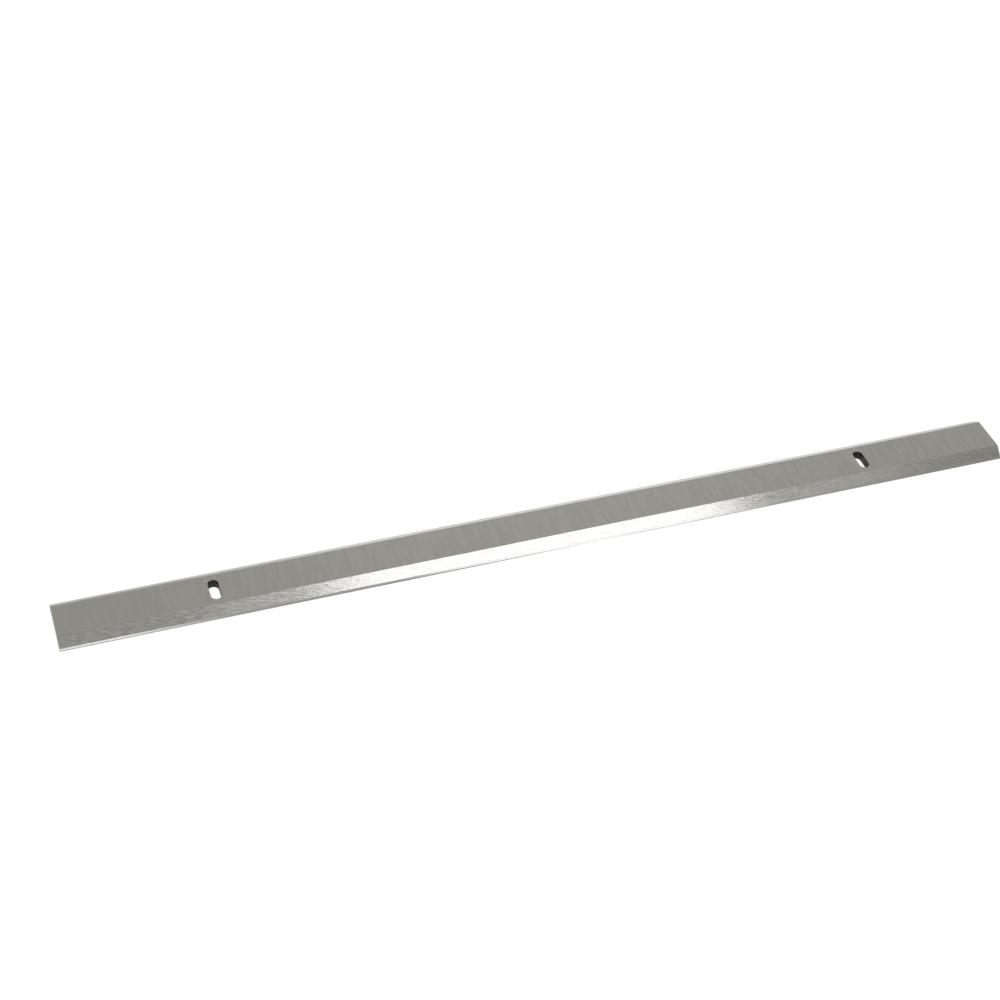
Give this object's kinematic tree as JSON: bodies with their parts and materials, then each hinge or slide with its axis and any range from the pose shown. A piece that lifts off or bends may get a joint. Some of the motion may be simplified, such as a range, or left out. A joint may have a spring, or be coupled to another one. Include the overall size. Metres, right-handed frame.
{
  "type": "planer knife",
  "caption": "Long ground steel planer knife with a bevelled cutting edge, a honed land, a rounded heel and slots across its width for clamping screws.",
  "frame": {"origin": "middle of the knife's length and width, on the plain seating face", "axes": "+X along the knife, +Y from the cutting edge to the heel, +Z from the seating face to the face with the bevel"},
  "size_m": [0.319, 0.0182, 0.0032],
  "materials": {
    "ground_steel": "ground across the wide face, ground lengthwise on the bevel, bright honed land along the cutting edge"
  },
  "bodies": {
    "root": {"planer_knife": "ground_steel"}
  },
  "joints": []
}
